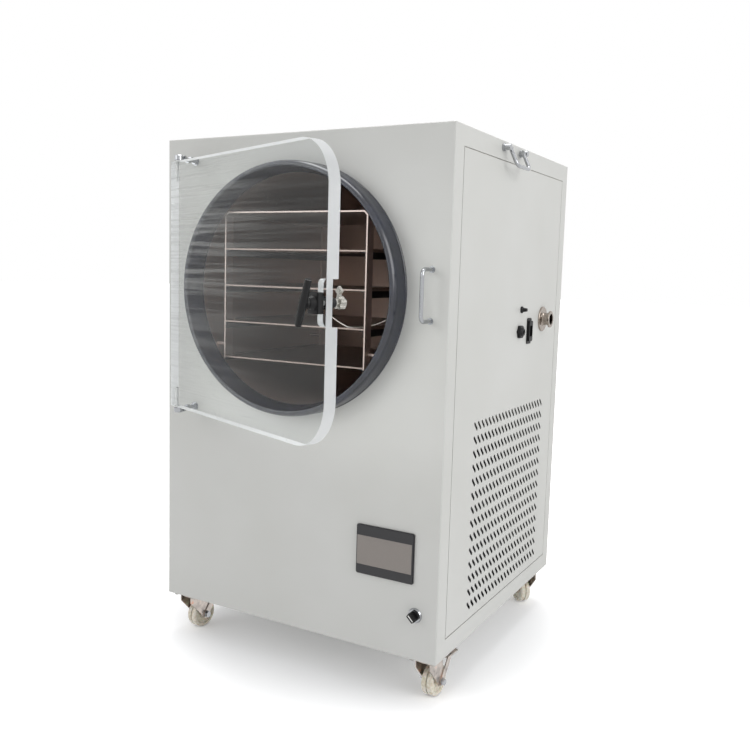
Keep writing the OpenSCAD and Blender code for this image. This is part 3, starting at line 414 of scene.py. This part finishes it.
def makeFrostedAcrylic():
    s = sawnEdge
    sockets = {"Base Color": fromHex(s["colour"]), "Roughness": s["roughness"]}
    material, tree, surface, place = startMaterial("frosted_acrylic", sockets)
    saw = addNode(tree, "ShaderNodeTexNoise", {"Vector": place, "Scale": perMetre(s["sawMm"]),
                                               "Detail": s["detail"]})
    addRelief(tree, surface, saw.outputs["Fac"], s["relief"])
    within = addNode(tree, "ShaderNodeBsdfTranslucent", {"Color": fromHex(s["within"])})
    both = addNode(tree, "ShaderNodeMixShader", {0: s["glow"], 1: surface.outputs[0],
                                                 2: within.outputs[0]})
    tree.links.new(both.outputs[0], tree.nodes["Material Output"].inputs["Surface"])
    return material


finishes = {
    "paint": makePowderCoat(),
    "seal": makeMottled("silicone_seal", siliconeSeal),
    "drum": makeMillSteel("rolled_stainless", millSteel["drum"]),
    "rack": makeMillSteel("folded_stainless", millSteel["rack"]),
    "shelf": makeMottled("anodised_shelf", anodisedShelf),
    "chrome": makeMottled("chrome_plate", chromePlate),
    "zinc": makeMottled("zinc_plate", zincPlate),
    "tinted": makeMottled("passivated_zinc", tintedZinc),
    "nickel": makeMottled("nickel_casting", nickelCasting),
    "port": makeMottled("turned_stainless", turnedStainless),
    "black": makeMottled("black_nylon", blackNylon),
    "film": makeMottled("panel_film", panelFilm),
    "screen": makeMottled("touch_glass", touchGlass),
    "wheel": makeCastNylon(),
    "pin": makeWhiteNylon(),
    "foam": makeMottled("nitrile_foam", nitrileFoam),
    "copper": makeMottled("drawn_copper", copperTube),
    "shell": makeMottled("stoved_enamel", shellEnamel),
    "fins": makeMottled("rolled_aluminium", finFoil),
    "lead": makeMottled("silicone_jacket", leadJacket),
    "heater": makeMottled("heater_mat", heaterMat),
    "acrylic": makeClearAcrylic(),
    "edge": makeFrostedAcrylic(),
}

nodeFinish = {
    "front_panel": "paint", "top_cover": "paint", "base_tray": "paint", "rear_panel": "paint",
    "right_side_panel": "paint", "left_side_panel": "paint", "frame": "zinc", "fasteners": "zinc",
    "chamber": "drum", "suction_pipe": "drum", "door_seal": "seal", "rack_frame": "rack",
    "rack_rails": "black", "shelf_1": "shelf", "shelf_2": "shelf", "shelf_3": "shelf",
    "shelf_4": "shelf", "shelf_heaters": "heater", "probe_lead": "lead", "hmi_bezel": "film",
    "hmi_screen": "screen", "selector_body": "chrome", "selector_knob": "black",
    "catch_bar": "chrome", "hinge_eyes": "chrome", "hinge_pins": "pin", "door_pane": "acrylic",
    "latch_base": "black", "latch_bush": "black", "latch_handle": "black",
    "latch_spindle": "nickel", "latch_hook": "nickel", "handle_bosses": "chrome",
    "bail_right": "chrome", "bail_left": "chrome", "vacuum_port": "port", "cable_gland": "black",
    "power_inlet": "black", "vent_plug": "black", "caster_plates": "tinted",
    "brake_pedal_fr": "tinted", "brake_pedal_fl": "tinted", "compressor": "shell",
    "condenser": "fins", "condenser_fan": "black", "evaporator_coil": "copper",
    "insulation": "foam", "control_box": "zinc",
}
for corner in ("fr", "fl", "rr", "rl"):
    nodeFinish["caster_fork_" + corner] = "tinted"
    nodeFinish["caster_axle_" + corner] = "chrome"
    nodeFinish["caster_wheel_" + corner] = "wheel"

for name, node in nodes.items():
    node.data.materials.clear()
    node.data.materials.append(finishes[nodeFinish[name]])
print("finishes on", len(nodes), "nodes")


def finishPiece(name, mesh, body):
    piece = bpy.data.objects.new(name, mesh)
    bpy.context.scene.collection.objects.link(piece)
    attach(piece, body)
    return piece


mergeGap = 1e-5  # in metres; corners closer than this become one


def copyMerged(nodeName, meshName):
    # a copy of a CAD mesh, with the corners of its loose triangles joined
    mesh = nodes[nodeName].data.copy()
    mesh.name = meshName
    build = bmesh.new()
    build.from_mesh(mesh)
    bmesh.ops.remove_doubles(build, verts=build.verts, dist=mergeGap)
    return mesh, build


def writeMesh(build, mesh, *finishNames):
    # the finishes come first, because clearing them sets every face back to the first one
    mesh.materials.clear()
    for name in finishNames:
        mesh.materials.append(finishes[name])
    build.to_mesh(mesh)
    build.free()


# The pane's two polished faces are told from its edges by the way they face, with the door ajar
doorPane = {"ajarDeg": 22, "flatness": 0.98, "levelDeg": 0.5}


def makeDoorPane():
    s = doorPane
    mesh, build = copyMerged("door_pane", "pane_mesh")
    bmesh.ops.dissolve_limit(build, angle_limit=math.radians(s["levelDeg"]), verts=build.verts,
                             edges=build.edges)
    turn = math.radians(s["ajarDeg"])
    faceWay = Vector((-math.sin(turn), -math.cos(turn), 0))
    for face in build.faces:
        polished = abs(face.normal.dot(faceWay)) > s["flatness"]
        face.material_index = 0 if polished else 1
    writeMesh(build, mesh, "acrylic", "edge")
    piece = finishPiece("clear_pane", mesh, "door")
    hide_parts("door_pane")


# The rolled lip is shaded as one smooth skin, broken only at its corners
mouldedSeal = {"cornerDeg": 38}


def makeMouldedSeal():
    mesh, build = copyMerged("door_seal", "seal_mesh")
    bmesh.ops.recalc_face_normals(build, faces=build.faces)
    for face in build.faces:
        face.smooth = True
    writeMesh(build, mesh, "seal")
    if "custom_normal" in mesh.attributes:
        mesh.attributes.remove(mesh.attributes["custom_normal"])
    mesh.set_sharp_from_angle(angle=math.radians(mouldedSeal["cornerDeg"]))
    piece = finishPiece("moulded_seal", mesh, "cabinet")
    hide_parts("door_seal")


# Painted line along the ridge of the selector's grip, which shows where it points; in metres
indexLine = {"long": 0.015, "wide": 0.0022, "sunk": 0.0004, "proud": 0.0002, "turnDeg": 45}


def makeIndexLine():
    s = indexLine
    low, high = (Vector(corner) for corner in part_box("selector_knob"))
    build = bmesh.new()
    bmesh.ops.create_cube(build, size=1)
    bmesh.ops.scale(build, verts=build.verts, vec=(s["long"], s["sunk"] + s["proud"], s["wide"]))
    bmesh.ops.bevel(build, geom=build.edges, offset=s["proud"] / 2, segments=2, profile=0.5,
                    affect="EDGES", material=-1)
    bmesh.ops.rotate(build, verts=build.verts,
                     matrix=Matrix.Rotation(math.radians(s["turnDeg"]), 3, "Y"))
    middle = (low + high) / 2
    middle.y = low.y + (s["sunk"] - s["proud"]) / 2
    bmesh.ops.translate(build, verts=build.verts, vec=middle)
    mesh = bpy.data.meshes.new("index_line")
    writeMesh(build, mesh, "pin")
    finishPiece("selector_line", mesh, "selector")


makeDoorPane()
makeMouldedSeal()
makeIndexLine()
print("pane, seal and index line made")


def mixByRay(tree, others, looked, mirrored):
    # looked is for the eye and for rays through the pane, mirrored for reflections, others for light
    path = addNode(tree, "ShaderNodeLightPath")
    direct = addNode(tree, "ShaderNodeMath", {0: path.outputs["Is Camera Ray"],
                                              1: path.outputs["Is Transmission Ray"]},
                     operation="MAXIMUM")
    plain = addNode(tree, "ShaderNodeMixShader", {0: direct.outputs[0], 1: others.outputs[0],
                                                  2: looked.outputs[0]})
    mixed = addNode(tree, "ShaderNodeMixShader", {0: path.outputs["Is Glossy Ray"],
                                                  1: plain.outputs[0], 2: mirrored.outputs[0]})
    return mixed.outputs[0]


plainWhite = {"Color": (1, 1, 1, 1), "Strength": 1.0}

# Matt painted floor; its glow grows from lift to full white between two radii, in metres
sweepFloor = {"colour": "#F4F4F4", "roughness": 0.9, "halfSize": 30, "lift": 0.17, "fadeFrom": 0.36,
              "fadeTo": 0.8}


def makeFloor():
    s = sweepFloor
    build = bmesh.new()
    bmesh.ops.create_grid(build, x_segments=1, y_segments=1, size=s["halfSize"])
    mesh = bpy.data.meshes.new("studio_floor")
    build.to_mesh(mesh)
    build.free()
    sockets = {"Base Color": fromHex(s["colour"]), "Roughness": s["roughness"],
               "Specular IOR Level": 0.0}
    material, tree, surface, place = startMaterial("white_sweep", sockets)
    # seen directly, the floor is lifted to white, most of all far out, and the shadow is kept
    reach = addNode(tree, "ShaderNodeVectorMath", {0: place}, operation="LENGTH")
    lift = addNode(tree, "ShaderNodeMapRange", {"Value": reach.outputs["Value"],
                                                "From Min": s["fadeFrom"], "From Max": s["fadeTo"],
                                                "To Min": s["lift"], "To Max": 1.0},
                   interpolation_type="SMOOTHSTEP")
    glow = addNode(tree, "ShaderNodeEmission", {**plainWhite, "Strength": lift.outputs["Result"]})
    seen = addNode(tree, "ShaderNodeAddShader", {0: surface.outputs[0], 1: glow.outputs[0]})
    # mirrored in metal or the pane, the floor is plain white, as the background is
    white = addNode(tree, "ShaderNodeEmission", plainWhite)
    tree.links.new(mixByRay(tree, surface, seen, white),
                   tree.nodes["Material Output"].inputs["Surface"])
    mesh.materials.append(material)
    floor = bpy.data.objects.new("studio_floor", mesh)
    bpy.context.scene.collection.objects.link(floor)


# Even light from all round; the eye and the mirrors see plain white instead
skyFill = {"colour": "#FBFCFF", "strength": 0.65}


def makeWorld():
    s = skyFill
    world = bpy.data.worlds.new("studio_world")
    bpy.context.scene.world = world
    world.use_nodes = True
    tree = world.node_tree
    tree.nodes.clear()
    fill = addNode(tree, "ShaderNodeBackground", {"Color": fromHex(s["colour"]),
                                                  "Strength": s["strength"]})
    white = addNode(tree, "ShaderNodeBackground", plainWhite)
    addNode(tree, "ShaderNodeOutputWorld", {"Surface": mixByRay(tree, fill, white, white)})


# square softboxes: places and sizes in metres, power in watts
softboxes = {
    "right": {"at": (3.5, -0.75, 2.2), "aim": (0.2, 0, 0.6), "size": 2.4, "power": 44},
    "front": {"at": (-2.2, -3.5, 2.2), "aim": (0, 0, 0.6), "size": 2.6, "power": 26},
    "top": {"at": (-0.1, 0.35, 3.5), "aim": (0, 0, 0), "size": 2.0, "power": 44},
}


def makeLamps():
    for name, s in softboxes.items():
        light = bpy.data.lights.new(name, "AREA")
        light.shape = "SQUARE"
        light.size = s["size"]
        light.energy = s["power"]
        lamp = bpy.data.objects.new(name, light)
        lamp.location = s["at"]
        way = Vector(s["aim"]) - Vector(s["at"])
        lamp.rotation_euler = way.to_track_quat("-Z", "Y").to_euler()
        bpy.context.scene.collection.objects.link(lamp)


viewpoint = {"at": (0.9990, -1.7930, 0.8656), "tiltDeg": (83.5, -1.6, 29.69), "lensMm": 40.32,
             "sensorMm": 36, "shift": (0.0071, -0.0101)}


def makeCamera():
    s = viewpoint
    data = bpy.data.cameras.new("camera")
    data.lens = s["lensMm"]
    data.sensor_width = s["sensorMm"]
    data.shift_x, data.shift_y = s["shift"]
    camera = bpy.data.objects.new("camera", data)
    camera.location = s["at"]
    camera.rotation_euler = [math.radians(a) for a in s["tiltDeg"]]
    bpy.context.scene.collection.objects.link(camera)
    bpy.context.scene.camera = camera


makeFloor()
makeWorld()
makeLamps()
makeCamera()
bpy.context.scene.view_settings.view_transform = "Standard"
print("studio ready")
